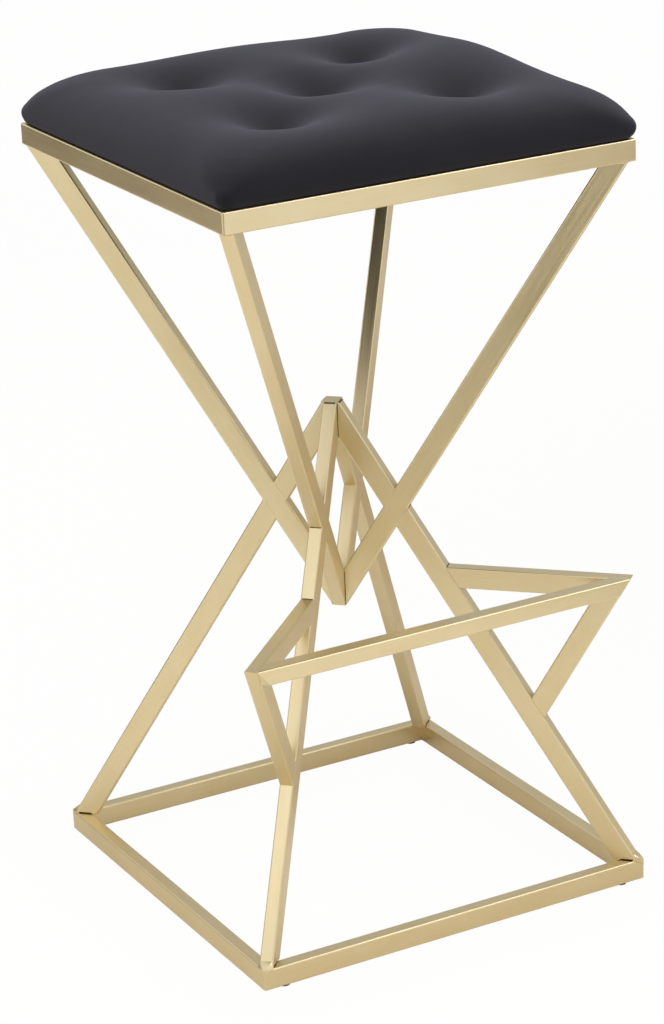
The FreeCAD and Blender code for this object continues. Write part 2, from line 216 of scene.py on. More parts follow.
def bar_direction(name):
    """Direction of a CAD bar: the one that most of its long edges share."""
    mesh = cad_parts[name].data
    edges = []
    for edge in mesh.edges:
        start, end = (mesh.vertices[i].co for i in edge.vertices)
        edges.append(end - start)
    longest_edges = sorted(edges, key=lambda edge: edge.length)[-40:]
    rays = [edge.normalized() for edge in longest_edges]
    parallel = 0.0002
    return max(rays, key=lambda ray: sum(ray.cross(other).length < parallel for other in rays))


def wall(mesh, loops):
    """Faces between each closed loop of vertices and the next."""
    count = len(loops[0])
    for low, high in zip(loops, loops[1:]):
        for i in range(count):
            j = (i + 1) % count
            mesh.faces.new((low[i], low[j], high[j], high[i]))


def skin(mesh, rings):
    """Closed skin over a row of rings of points, capped at both ends."""
    loops = [[mesh.verts.new(point) for point in ring] for ring in rings]
    wall(mesh, loops)
    mesh.faces.new(loops[0])
    mesh.faces.new(loops[-1])


def tube(mesh, line, beside, radius):
    """Round strand along a line of points; beside is a direction square to the line."""
    sides = 6
    rings = []
    for i, point in enumerate(line):
        along = line[min(i + 1, len(line) - 1)] - line[max(i - 1, 0)]
        third = along.cross(beside).normalized()
        turns = [math.tau * k / sides for k in range(sides)]
        rings.append([point + (beside * math.cos(a) + third * math.sin(a)) * radius for a in turns])
    skin(mesh, rings)


def as_mesh(name, mesh):
    """Finished mesh of a bmesh, with its faces looking outwards."""
    bmesh.ops.recalc_face_normals(mesh, faces=mesh.faces)
    made = bpy.data.meshes.new(name)
    mesh.to_mesh(made)
    mesh.free()
    return made


def brushed_gold(name, along, settings):
    """Steel tube plated in pale gold and brushed along its length, under thin satin lacquer.

    The brushing spreads reflections into a soft glow with faint lines along each bar; the lacquer pales
    the faces that are seen at a slant.
    """
    material, tree, output = blank_material(name)
    place = node(tree, "ShaderNodeTexCoord").outputs["Object"]
    turn = along.rotation_difference(Vector((1, 0, 0))).to_euler()
    turned = node(tree, "ShaderNodeMapping", {"Vector": place, "Rotation": turn}).outputs["Vector"]
    # Real brush lines are about 0.2 mm wide: they are drawn wider, or they would not show.
    line_scale = (1 / settings.brush_length, 1 / settings.brush_width, 1 / settings.brush_width)
    lines_place = node(tree, "ShaderNodeMapping", {"Vector": turned, "Scale": line_scale})
    lines = node(tree, "ShaderNodeTexNoise", {
        "Vector": lines_place.outputs["Vector"], "Scale": 1.0, "Detail": 3.0}).outputs["Fac"]
    # Hand finishing leaves soft patches about 60 mm long.
    patch_scale = (1 / (60 * MM), 1 / (25 * MM), 1 / (25 * MM))
    patch_place = node(tree, "ShaderNodeMapping", {"Vector": turned, "Scale": patch_scale})
    patches = node(tree, "ShaderNodeTexNoise", {
        "Vector": patch_place.outputs["Vector"], "Scale": 1.0, "Detail": 2.0}).outputs["Fac"]
    both = node(tree, "ShaderNodeMix", {"Factor": 0.55, "A": lines, "B": patches}, data_type="FLOAT")
    tone = node(tree, "ShaderNodeMapRange", {
        "Value": both.outputs["Result"], "From Min": 0.1, "From Max": 0.9}).outputs["Result"]
    colour = node(tree, "ShaderNodeMix", {
        "Factor": tone, "A": rgba(settings.gold_deep), "B": rgba(settings.gold_light)}, data_type="RGBA")
    rough = node(tree, "ShaderNodeMapRange", {
        "Value": lines, "From Min": 0.3, "From Max": 0.7, "To Min": 0.3, "To Max": 0.4}).outputs["Result"]
    relief = node(tree, "ShaderNodeBump", {"Height": lines, "Strength": 0.05, "Distance": 0.1 * MM})
    shader = node(tree, "ShaderNodeBsdfPrincipled", {
        "Base Color": colour.outputs["Result"], "Metallic": 1.0, "Roughness": rough,
        "Normal": relief.outputs["Normal"], "Coat Weight": 0.25, "Coat Roughness": 0.35})
    tree.links.new(shader.outputs["BSDF"], output.inputs["Surface"])
    return material


def cut_velvet(settings):
    """Polyester velvet, woven and cut to a short dense pile.

    Seen straight on the eye looks down into the dyed pile, which is nearly black; along the surface the
    tips of the fibres catch the light as a soft grey bloom.
    """
    material, tree, output = blank_material("black_cut_velvet")
    place = node(tree, "ShaderNodeTexCoord").outputs["Object"]
    # Tufts of pile are about 0.4 mm apart: drawn at 1.2 mm, or they would not show.
    pile = node(tree, "ShaderNodeTexNoise", {
        "Vector": place, "Scale": 1 / (1.2 * MM), "Detail": 2.0}).outputs["Fac"]
    # The nap is stroked flat in soft patches as wide as a hand.
    nap = node(tree, "ShaderNodeTexNoise", {
        "Vector": place, "Scale": 1 / (70 * MM), "Detail": 2.0}).outputs["Fac"]
    both = node(tree, "ShaderNodeMix", {"Factor": 0.5, "A": pile, "B": nap}, data_type="FLOAT")
    tone = node(tree, "ShaderNodeMapRange", {
        "Value": both.outputs["Result"], "From Min": 0.3, "From Max": 0.7}).outputs["Result"]
    dark = [0.35 * c for c in settings.velvet]
    colour = node(tree, "ShaderNodeMix", {
        "Factor": tone, "A": rgba(dark), "B": rgba(settings.velvet)}, data_type="RGBA")
    relief = node(tree, "ShaderNodeBump", {"Height": pile, "Strength": 0.2, "Distance": 0.2 * MM})
    shader = node(tree, "ShaderNodeBsdfPrincipled", {
        "Base Color": colour.outputs["Result"], "Roughness": 0.9, "Specular IOR Level": 0.1,
        "Sheen Weight": 0.28, "Sheen Roughness": 0.68, "Sheen Tint": rgba(settings.pile_shine),
        "Normal": relief.outputs["Normal"]})
    tree.links.new(shader.outputs["BSDF"], output.inputs["Surface"])
    return material


def plain_finish(name, light, dark, grain, roughness, metallic=0.0, relief_depth=0.05 * MM):
    """A hidden or small part's material: two close colours mixed by a grain, with its relief."""
    material, tree, output = blank_material(name)
    place = node(tree, "ShaderNodeTexCoord").outputs["Object"]
    scaled = node(tree, "ShaderNodeMapping", {"Vector": place, "Scale": [1 / size for size in grain]})
    pattern = node(tree, "ShaderNodeTexNoise", {
        "Vector": scaled.outputs["Vector"], "Scale": 1.0, "Detail": 4.0}).outputs["Fac"]
    tone = node(tree, "ShaderNodeMapRange", {
        "Value": pattern, "From Min": 0.3, "From Max": 0.7}).outputs["Result"]
    colour = node(tree, "ShaderNodeMix", {
        "Factor": tone, "A": rgba(linear(dark)), "B": rgba(linear(light))}, data_type="RGBA")
    relief = node(tree, "ShaderNodeBump", {"Height": pattern, "Strength": 0.4, "Distance": relief_depth})
    shader = node(tree, "ShaderNodeBsdfPrincipled", {
        "Base Color": colour.outputs["Result"], "Metallic": metallic, "Roughness": roughness,
        "Normal": relief.outputs["Normal"]})
    tree.links.new(shader.outputs["BSDF"], output.inputs["Surface"])
    return material


def birch_plywood():
    """Birch plywood, peeled from the log and sanded: long pale brown figure on a dull face."""
    figure = (90 * MM, 4 * MM, 2 * MM)
    return plain_finish("sanded_birch_plywood", "#d9b98a", "#b98f5c", figure, 0.6)


def spunbond_cloth():
    """Spunbonded polypropylene, pressed from loose fibres: dull black with fine uneven mottling."""
    mottle = (1.5 * MM, 1.5 * MM, 1.5 * MM)
    return plain_finish("black_spunbond_polypropylene", "#3e3e40", "#2c2c2e", mottle, 0.85)


def waxed_twine():
    """Waxed polyester twine, twisted from two strands: near black, with a soft shine on each strand."""
    fibre = (1 * MM, 1 * MM, 1 * MM)
    return plain_finish("black_waxed_twine", "#1a1a1b", "#0e0e0f", fibre, 0.7)


def zinc_plate():
    """Zinc-plated steel, barrel plated and passivated: bright bluish grey with a faint cloudy spangle."""
    spangle = (2 * MM, 2 * MM, 2 * MM)
    return plain_finish("zinc_plated_steel", "#c3c6c8", "#a4a8ab", spangle, 0.35, metallic=1.0,
                        relief_depth=0.01 * MM)


def painted_seam_shade():
    """A dull dark brown line along a seam: painted shade for the narrow gap where two tubes meet, which the
    solids leave closed.
    """
    scale = (2 * MM, 2 * MM, 2 * MM)
    return plain_finish("dark_seam_shade_line", "#4a4132", "#2e281f", scale, 0.7)


def moulded_nylon():
    """Nylon, moulded in a spark-eroded tool: satin dark grey with a fine even grain."""
    grain = (2 * MM, 2 * MM, 2 * MM)
    return plain_finish("dark_moulded_nylon", "#6e675b", "#5e584d", grain, 0.5)


def tuft_places(spacing):
    """Where the five tufts are, in plan."""
    half = spacing / 2
    return [(0.0, 0.0)] + [(x * half, y * half) for x, y in CORNERS.values()]


def rounded_square(half, radius, height, side_points, corner_points):
    """A ring of points round a square with rounded corners."""
    points = []
    straight = half - radius
    for quarter in range(4):
        turn = Matrix.Rotation(math.radians(90 * quarter), 3, "Z")
        for i in range(side_points):
            points.append(turn @ Vector((half, straight * (2 * i / side_points - 1), height)))
        for i in range(corner_points):
            angle = math.radians(90 * i / corner_points)
            bend = Vector((math.cos(angle), math.sin(angle), 0)) * radius
            points.append(turn @ (Vector((straight, straight, height)) + bend))
    return points


def tuft_dip(x, y, seat):
    """How far the tufts draw the cover down: a wide hollow and a sharp pinch at each stitch."""
    hollow_exponent = 2.5
    centre_share = 1.03
    stitch_radius = 2 * MM
    dip = 0.0
    for tuft_x, tuft_y in tuft_places(seat.tuft_spacing):
        away = (x - tuft_x) ** 2 + (y - tuft_y) ** 2
        hollow = seat.hollow_depth * (1 + away / seat.hollow_radius ** 2) ** -hollow_exponent
        pinch = seat.pinch_depth * math.exp(-math.sqrt(away + stitch_radius ** 2) / seat.pinch_radius)
        dip += (hollow + pinch) * (centre_share if tuft_x == 0 else 1)
    return dip


def fullness(x, y):
    """How much higher the filling stands where it was packed fuller by hand, or lower where not."""
    spots = (
        (165 * MM, 100 * MM, 4.6 * MM, 70 * MM), (175 * MM, 15 * MM, 6 * MM, 60 * MM),
        (-130 * MM, 165 * MM, 1.4 * MM, 60 * MM), (75 * MM, 185 * MM, -1.3 * MM, 55 * MM))
    total = 0.0
    for spot_x, spot_y, rise, radius in spots:
        total += rise * math.exp(-((x - spot_x) ** 2 + (y - spot_y) ** 2) / radius ** 2)
    return total


def stuffed_corner(point):
    """How far the cover stands out at the front right corner, which is stuffed fuller than the rest."""
    most = 3.6 * MM
    reach = 55 * MM
    start = 6 * MM
    top = 50 * MM
    away = math.hypot(point.x - RING_HALF, point.y + RING_HALF)
    fade = max(0.0, 1 - point.z / top)
    share = math.exp(-(away / reach) ** 2) * min(1.0, point.z / start) * fade
    return Vector((1, -1, 0)).normalized() * most * share


def cushion_rings(seat):
    """Half width, corner radius, corner drop and height of the cushion's rings, from foot to crown."""
    width_exponent = 4.7
    height_exponent = 2.33
    foot_corner = 10 * MM
    edge_corner = 0.064
    crown_corner = 0.337
    corner_growth = 0.2
    corner_drop = 0.12
    foot_half = RING_HALF - seat.foot_inset
    bulge_half = RING_HALF + seat.bulge
    rings = []
    foot_steps = 5
    for i in range(foot_steps):
        share = i / foot_steps
        half = foot_half + (bulge_half - foot_half) * math.sin(share * math.pi / 2)
        corner = foot_corner + (edge_corner * bulge_half - foot_corner) * share
        rings.append((half, corner, 0.0, seat.bulge_height * share))
    crown_steps = 60
    for i in range(crown_steps):
        share = math.sin((1 - i / crown_steps) * math.pi / 2)
        half = bulge_half * share
        corner = half * (edge_corner + (crown_corner - edge_corner) * (1 - share) ** corner_growth)
        rise = (1 - share ** width_exponent) ** (1 / height_exponent)
        height = seat.bulge_height + (seat.crown - seat.bulge_height) * rise
        rings.append((half, corner, corner_drop * share ** 3 * rise, height))
    return rings


def cushion_blank(seat):
    """Closed mesh of the cushion before its cover is blown up: foot, bulge, crown and tufts."""
    mesh = bmesh.new()
    loops = []
    for half, corner, drop, height in cushion_rings(seat):
        loop = []
        for point in rounded_square(half, corner, height, side_points=24, corner_points=10):
            diagonal = math.sin(2 * math.atan2(point.y, point.x)) ** 4
            point.z -= drop * diagonal * seat.crown
            lift = fullness(point.x, point.y) - tuft_dip(point.x, point.y, seat)
            point.z += lift * point.z / seat.crown
            point += stuffed_corner(point)
            loop.append(mesh.verts.new(point + Vector((0, 0, RING_TOP))))
        loops.append(loop)
    wall(mesh, loops)
    top = mesh.verts.new((0, 0, RING_TOP + seat.crown - tuft_dip(0, 0, seat)))
    bottom = mesh.verts.new((0, 0, RING_TOP))
    count = len(loops[0])
    for i in range(count):
        j = (i + 1) % count
        mesh.faces.new((loops[-1][i], loops[-1][j], top))
        mesh.faces.new((loops[0][j], loops[0][i], bottom))
    return as_mesh("cushion", mesh)


def apply_modifiers(piece):
    """Replaces a piece's mesh by what its modifiers make of it."""
    graph = bpy.context.evaluated_depsgraph_get()
    made = bpy.data.meshes.new_from_object(piece.evaluated_get(graph))
    piece.modifiers.clear()
    piece.data = made


def blow_up(piece, settings):
    """Swells the cover over its filling as cloth, held at the foot and in the tufts."""
    most = 4 * MM
    held_height = 5 * MM
    held_radius = 5 * MM
    steps = 20
    start = [v.co.copy() for v in piece.data.vertices]
    held = piece.vertex_groups.new(name="held")
    for vert in piece.data.vertices:
        away = [math.hypot(vert.co.x - x, vert.co.y - y) for x, y in tuft_places(settings.tuft_spacing)]
        if vert.co.z < RING_TOP + held_height or min(away) < held_radius:
            held.add([vert.index], 1.0, "REPLACE")
    cloth = piece.modifiers.new("cover", "CLOTH")
    cloth.settings.vertex_group_mass = held.name
    cloth.settings.quality = 6
    cloth.settings.use_pressure = True
    cloth.settings.uniform_pressure_force = 4.0
    cloth.settings.effector_weights.gravity = 0.0
    cloth.point_cache.frame_start = 1
    cloth.point_cache.frame_end = steps
    for step in range(1, steps + 1):
        bpy.context.scene.frame_set(step)
    apply_modifiers(piece)
    bpy.context.scene.frame_set(1)
    for vert, place in zip(piece.data.vertices, start):
        move = vert.co - place
        if move.length > most:
            vert.co = place + move.normalized() * most
    piece.vertex_groups.clear()


class StoolGoldFrame(bpy.types.Operator):
    """Brushes and plates the welded tubes"""

    bl_idname = "stool.gold_frame"
    bl_label = "Gold frame"

    def execute(self, context):
        settings = context.scene.stool_frame
        fineness = 20
        finishes = {}
        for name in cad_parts:
            if not name.startswith(GOLD_NODES):
                continue
            along = bar_direction(name)
            key = tuple(round(abs(c) * fineness) for c in along)
            key += (along.x * along.y > 0, along.x * along.z > 0)
            if key not in finishes:
                finishes[key] = brushed_gold("brushed_gold_%d" % len(finishes), along, settings)
            dress([name], finishes[key])
        return {"FINISHED"}


class StoolCushion(bpy.types.Operator):
    """Makes the tufted velvet cushion"""

    bl_idname = "stool.cushion"
    bl_label = "Cushion"

    def execute(self, context):
        settings = context.scene.stool_seat
        mesh = cushion_blank(settings)
        piece = add_piece("velvet_cushion", mesh, cut_velvet(settings))
        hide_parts("seat_cover", "seat_foam")
        remesh = piece.modifiers.new("even_mesh", "REMESH")
        remesh.mode = "VOXEL"
        remesh.voxel_size = 4 * MM
        apply_modifiers(piece)
        blow_up(piece, settings)
        smooth = piece.modifiers.new("soften", "SMOOTH")
        smooth.factor = 0.5
        smooth.iterations = 3
        finer = piece.modifiers.new("finer", "SUBSURF")
        finer.levels = 1
        finer.render_levels = 1
        apply_modifiers(piece)
        for vert in piece.data.vertices:
            vert.co.z = max(vert.co.z, RING_TOP)
        piece.data.shade_smooth()
        return {"FINISHED"}


class StoolHiddenParts(bpy.types.Operator):
    """Finishes the parts under and inside the seat"""

    bl_idname = "stool.hidden_parts"
    bl_label = "Parts under the seat"

    def execute(self, context):
        dress(["seat_board"], birch_plywood())
        dress(["tee_nuts", "staples"], zinc_plate())
        dress([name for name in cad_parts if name.startswith("floor_glide")], moulded_nylon())
        return {"FINISHED"}


class StoolDustCover(bpy.types.Operator):
    """Stretches the dust cover under the board, cut out round the seat tabs"""

    bl_idname = "stool.dust_cover"
    bl_label = "Dust cover"

    staple_offsets = (-130 * MM, -65 * MM, 65 * MM, 130 * MM)
    staple_inset = 6 * MM
    notch_gap = 2 * MM

    def execute(self, context):
        sag = context.scene.stool_seat.dust_sag
        low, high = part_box("dust_cover")
        half = high.x
        seat = low.z + 0.05 * MM
        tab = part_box("seat_tab_front")[1]
        notch_half = tab.x + self.notch_gap
        notch_line = -tab.y - self.notch_gap
        steps = 88
        stops = [half * (2 * i / steps - 1) for i in range(steps + 1)]
        stops = sorted(stops + [notch_half, -notch_half, notch_line, -notch_line])
        mesh = bmesh.new()
        rows = []
        for y in stops:
            rows.append([mesh.verts.new((x, y, seat - self.hang(x, y, half, sag))) for x in stops])
        for low, high in zip(rows, rows[1:]):
            for i in range(len(stops) - 1):
                centre = (low[i].co + high[i + 1].co) / 2
                near, far = sorted((abs(centre.x), abs(centre.y)))
                if near > notch_half or far < notch_line:
                    mesh.faces.new((low[i], high[i], high[i + 1], low[i + 1]))
        bmesh.ops.delete(mesh, geom=[v for v in mesh.verts if not v.link_faces], context="VERTS")
        cloth = as_mesh("dust_cover", mesh)
        piece = add_piece("spunbond_dust_cover", cloth, spunbond_cloth())
        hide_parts("dust_cover")
        return {"FINISHED"}

    def hang(self, x, y, half, sag):
        """How far the cloth hangs: it sags in the middle, and droops and puckers between the staples."""
        droop = 0.7 * MM
        droop_reach = 25 * MM
        hold_reach = 18 * MM
        pucker = 0.2 * MM
        pucker_start = 5 * MM
        pucker_reach = 22 * MM
        rays = 7
        line = half - self.staple_inset
        hold = 0.0
        fold = 0.0
        for offset in self.staple_offsets:
            for staple_x, staple_y in ((offset, line), (offset, -line), (line, offset), (-line, offset)):
                away = math.hypot(x - staple_x, y - staple_y)
                angle = math.atan2(y - staple_y, x - staple_x)
                hold = max(hold, math.exp(-(away / hold_reach) ** 2))
                fade = math.exp(-away / pucker_reach) * (1 - math.exp(-away / pucker_start))
                fold += math.cos(rays * angle) * fade
        edge = half - max(abs(x), abs(y))
        middle = (1 - (x / half) ** 2) * (1 - (y / half) ** 2)
        hang = sag * middle + droop * (1 - hold) * math.exp(-edge / droop_reach) - pucker * fold
        return max(hang, 0.0)


class StoolStitches(bpy.types.Operator):
    """Ties the five tufts down with twisted twine"""

    bl_idname = "stool.stitches"
    bl_label = "Tuft stitches"

    pit_radius = 5 * MM

    def execute(self, context):
        settings = context.scene.stool_seat
        cover = bpy.data.objects["velvet_cushion"].data.vertices
        mesh = bmesh.new()
        for number, (x, y) in enumerate(tuft_places(settings.tuft_spacing)):
            near = [v.co.z for v in cover
                    if v.co.z > BOARD_TOP and math.hypot(v.co.x - x, v.co.y - y) < self.pit_radius]
            knot = Vector((x, y, BOARD_BOTTOM + 1 * MM))
            turn = math.radians(40 * number)
            self.loop(mesh, knot, min(near) + settings.twine / 3, turn, settings.twine)
            self.knot(mesh, knot, settings.twine)
        piece = add_piece("tuft_stitches", as_mesh("tuft_stitches", mesh), waxed_twine())
        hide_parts("tuft_ties")
        return {"FINISHED"}

    def loop(self, mesh, knot, top, turn, twine):
        """One stitch: up through the filling, over the velvet and down, in two twisted strands."""
        span = 3 * MM
        pitch = 5 * MM
        samples = 160
        across = Vector((math.cos(turn), math.sin(turn), 0))
        beside = UP.cross(across)
        line = []
        for i in range(samples + 1):
            angle = math.pi * i / samples
            lean = -math.copysign(abs(math.cos(angle)) ** 0.35, math.cos(angle))
            rise = abs(math.sin(angle)) ** 0.6
            line.append(knot + across * span * lean + UP * (top - knot.z) * rise)
        for strand in range(2):
            twist = math.pi * strand
            twisted = []
            for i, point in enumerate(line):
                step = point - line[max(i - 1, 0)]
                twist += math.tau * step.length / pitch
                along = (line[min(i + 1, samples)] - line[max(i - 1, 0)]).normalized()
                swing = beside * math.cos(twist) + along.cross(beside) * math.sin(twist)
                twisted.append(point + swing * twine / 4)
            tube(mesh, twisted, beside, twine / 4)

    def knot(self, mesh, place, twine):
        """Turns of twine that stop the stitch under the board."""
        radius = 3 * MM
        turns = 2.5
        samples = 48
        line = []
        for i in range(samples + 1):
            angle = math.tau * turns * i / samples
            out = Vector((math.cos(angle), math.sin(angle), 0))
            line.append(place + out * radius + UP * twine * 0.5 * i / samples)
        tube(mesh, line, UP, twine / 3)


class StoolScrews(bpy.types.Operator):
    """Turns the four seat screws, with their hexagon sockets"""

    bl_idname = "stool.screws"
    bl_label = "Seat screws"

    def execute(self, context):
        head = 6 * MM
        shank = 3 * MM
        socket = 2 * MM
        low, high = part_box("seat_screws")
        line = high.x - head
        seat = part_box("seat_tab_front")[0].z
        bottom = low.z
        profile = (
            (shank * 0.8, high.z, False), (shank, high.z - 0.6 * MM, False), (shank, seat, False),
            (head, seat, False), (head, bottom + 1.6 * MM, False),
            (head * 0.92, bottom + 0.5 * MM, False), (head * 0.74, bottom, False),
            (socket * 1.25, bottom, False), (socket, bottom + 0.2 * MM, True),
            (socket, bottom + 2.2 * MM, True), (socket * 0.1, bottom + 2.8 * MM, False))
        mesh = bmesh.new()
        for place in ((0, -line), (line, 0), (0, line), (-line, 0)):
            skin(mesh, [self.ring(place, *row) for row in profile])
        screws = as_mesh("seat_screws", mesh)
        piece = add_piece("socket_seat_screws", screws, zinc_plate())
        piece.data.set_sharp_from_angle(angle=math.radians(35))
        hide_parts("seat_screws")
        return {"FINISHED"}

    def ring(self, place, radius, height, hexagon):
        """Points round the screw; in the socket they follow a hexagon of that half width."""
        count = 24
        points = []
        for i in range(count):
            angle = math.tau * i / count
            corner = math.radians(30) - angle % math.radians(60)
            reach = radius / math.cos(corner) if hexagon else radius
            x = place[0] + reach * math.cos(angle)
            y = place[1] + reach * math.sin(angle)
            points.append(Vector((x, y, height)))
        return points


def leg_faces(name, out):
    """The way up a slanted leg, the way its outer face looks, and how far that face lies that way."""
    along = bar_direction(name)
    along = along if along.z > 0 else -along
    look = (out - along * out.dot(along)).normalized()
    return along, look, max(look.dot(v.co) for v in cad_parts[name].data.vertices)


def reach_at(height, out, look, distance):
    """How far out from the stool's axis a leg's outer face is at a height."""
    return (distance - look.z * height) / look.dot(out)


def meeting(out, first, first_far, second, second_far):
    """The point of a leg's middle plane where two faces meet."""
    first_out = first.dot(out)
    second_out = second.dot(out)
    share = first_out * second.z - first.z * second_out
    reach = (first_far * second.z - first.z * second_far) / share
    height = (first_out * second_far - first_far * second_out) / share
    return out * reach + UP * height


class StoolWelds(bpy.types.Operator):
    """Lays the ground welds over the frame's feet and crossings and in its corners"""

    bl_idname = "stool.welds"
    bl_label = "Welds"

    def execute(self, context):
        settings = context.scene.stool_frame
        self.leg = settings.weld_leg
        self.chance = random.Random(4)
        self.mesh = bmesh.new()
        for name, out, side in corner_ways():
            self.foot(name, out, side)
            self.ring_joint(name, out, side)
            self.crossing(name, out, side)
        for hand in (-1, 1):
            self.footrest_joint(hand)
        material = brushed_gold("ground_gold_weld", UP, settings)
        piece = add_piece("ground_welds", as_mesh("ground_welds", self.mesh), material)
        piece.data.set_sharp_from_angle(angle=math.radians(35))
        return {"FINISHED"}

    def fillet(self, start, end, first, second, leg):
        """A hollow-faced weld in the corner between two faces, uneven as a hand grinds it."""
        sunk = 0.4 * MM
        lap = 0.05 * MM
        arc_steps = 5
        steps = max(6, round((end - start).length / (3 * MM)))
        rings = []
        for i in range(steps + 1):
            share = i / steps
            ends = min(1.0, 0.35 + 4 * min(share, 1 - share))
            reach = leg * ends * self.chance.uniform(0.88, 1.12)
            place = start.lerp(end, share)
            ring = [place - (first + second) * sunk]
            for k in range(arc_steps + 1):
                angle = math.radians(90 * k / arc_steps)
                rise = first * (1 - math.sin(angle)) + second * (1 - math.cos(angle))
                ring.append(place + rise * reach - (first + second) * lap)
            rings.append(ring)
        skin(self.mesh, rings)

    def bead(self, points):
        """A ground bead over an outer corner: the hull of a few points, with its edges rounded off."""
        lump = bmesh.new()
        hull = bmesh.ops.convex_hull(lump, input=[lump.verts.new(point) for point in points])
        left_over = hull["geom_interior"] + hull["geom_unused"]
        spare = {item for item in left_over if isinstance(item, bmesh.types.BMVert)}
        bmesh.ops.delete(lump, geom=list(spare), context="VERTS")
        edges = list(lump.edges)
        bmesh.ops.bevel(lump, geom=edges, offset=0.4 * MM, segments=2, profile=0.5, affect="EDGES")
        made = as_mesh("bead", lump)
        self.mesh.from_mesh(made)
        bpy.data.meshes.remove(made)

    def foot(self, name, out, side):
        """The bead in front of a leg's toe, drawn down over the base ring's corner.

        Its points lie up, out of and beside the leg's face at the toe, and down the corner.
        """
        along, look, distance = leg_faces("lower_leg_" + name, out)
        toe = out * reach_at(BASE_TOP, out, look, distance) + UP * BASE_TOP
        corner = out * (RING_HALF * math.sqrt(2)) + UP * BASE_TOP
        drop = self.chance.uniform(6.5, 7.5) * MM
        tip = corner - out * 0.6 * MM
        points = [tip + UP * 0.2 * MM, tip - UP * drop]
        for hand in (-1, 1):
            points.append(toe + along * 7 * MM + look * 0.15 * MM + side * hand * 5.2 * MM)
            points.append(toe + along * 1 * MM + look * 0.5 * MM + side * hand * 7.8 * MM)
            points.append(toe + look * 0.4 * MM - UP * 1.2 * MM + side * hand * 6.6 * MM)
            points.append(toe - out * 3 * MM - UP * 1.5 * MM + side * hand * 4 * MM)
        self.bead(points)

    def ring_joint(self, name, out, side):
        """Welds beside and in front of a leg's top, under the seat ring."""
        back = 17 * MM
        gap = 2 * MM
        half_width = 5 * MM
        along, look, distance = leg_faces("upper_leg_" + name, out)
        toe = reach_at(RING_BOTTOM, out, look, distance)
        base = UP * RING_BOTTOM
        for hand in (-1, 1):
            edge = side * hand * TUBE_HALF + base
            start = edge + out * (toe - back)
            end = edge + out * (toe - gap)
            self.fillet(start, end, side * hand, -UP, self.leg * 0.8)
        front = out * toe + base
        across = side * half_width
        self.fillet(front - across, front + across, out, -along, self.leg * 0.9)

    def crossing(self, name, out, side):
        """Flush strips over the seams where the lower leg and the apex strut meet the upper leg."""
        depth = RING_TOP - RING_BOTTOM
        up_look, up_far = leg_faces("upper_leg_" + name, out)[1:]
        low_look, low_far = leg_faces("lower_leg_" + name, out)[1:]
        for far, lap in ((up_far, 1), (up_far - depth, -1)):
            start = meeting(out, up_look, far, low_look, low_far)
            end = meeting(out, up_look, far, low_look, low_far - depth)
            for hand in (-1, 1):
                self.strip(start, end, up_look * lap, side * hand)

    def strip(self, start, end, over, face):
        """A seam ground flush: over points from the leg to the bar on it, face out of the surface.

        The profile is across and over the seam, the ends are how far in from an end and how deep, all in mm.
        """
        profile = ((-2.2, -0.03), (-1.7, 0.03), (-0.6, 0.04), (0.2, 0.03), (0.6, -0.03), (0.6, -1.2),
                   (-2.2, -1.2))
        ends = ((0.75, -0.33), (1.1, -0.12), (1.9, 0.0))
        length = (end - start).length
        along = (end - start) / length
        places = [(gap * MM, sunk * MM) for gap, sunk in ends]
        places += [(length - gap, sunk) for gap, sunk in reversed(places)]
        rings = []
        for place, sunk in places:
            middle = start + along * place + face * (TUBE_HALF + sunk)
            rings.append([middle + over * across * MM + face * rise * MM for across, rise in profile])
        skin(self.mesh, rings)

    def footrest_joint(self, hand):
        """The weld behind an end of the footrest bar."""
        out = Vector((hand, -1, 0)).normalized()
        bar_low, bar_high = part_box("footrest_bar")
        corner = Vector((-hand * (bar_high.y + TUBE_HALF * math.sqrt(2)), bar_high.y, 0))
        away = Vector((-hand, 0, 0))
        self.fillet(corner + UP * bar_low.z, corner + UP * bar_high.z, away, -out, self.leg)


class StoolSeams(bpy.types.Operator):
    """Draws dark lines where two tubes meet and their weld was not ground over: painted shade for the seam's
    narrow gap and inner corner
    """

    bl_idname = "stool.seams"
    bl_label = "Open seams"

    radius = 0.5 * MM
    half_width = 5.2 * MM
    upright = 33 * MM

    def execute(self, context):
        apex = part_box("apex_plate")[0].z
        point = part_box("point_plate")[1].z
        self.mesh = bmesh.new()
        for name, out, side in corner_ways():
            low_look, low_far = leg_faces("lower_leg_" + name, out)[1:]
            up_look, up_far = leg_faces("upper_leg_" + name, out)[1:]
            self.level(meeting(out, up_look, up_far, low_look, low_far), side)
            self.level(out * reach_at(apex, out, low_look, low_far) + UP * apex, side)
            inner = (out + side) * TUBE_HALF
            for low in (apex - self.upright, point):
                tube(self.mesh, [inner + UP * low, inner + UP * (low + self.upright)], out, self.radius)
            arm = "footrest_arm_" + name.replace("front_", "")
            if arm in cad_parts:
                arm_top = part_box(arm)[1].z
                self.level(out * reach_at(arm_top, out, low_look, low_far) + UP * arm_top, side)
        # The lines are painted shade for the seams' gaps and inner corners, in a dull dark brown.
        add_piece("open_seams", as_mesh("open_seams", self.mesh), painted_seam_shade())
        return {"FINISHED"}

    def level(self, middle, side):
        """A level seam across a tube."""
        across = side * self.half_width
        tube(self.mesh, [middle - across, middle + across], UP, self.radius)


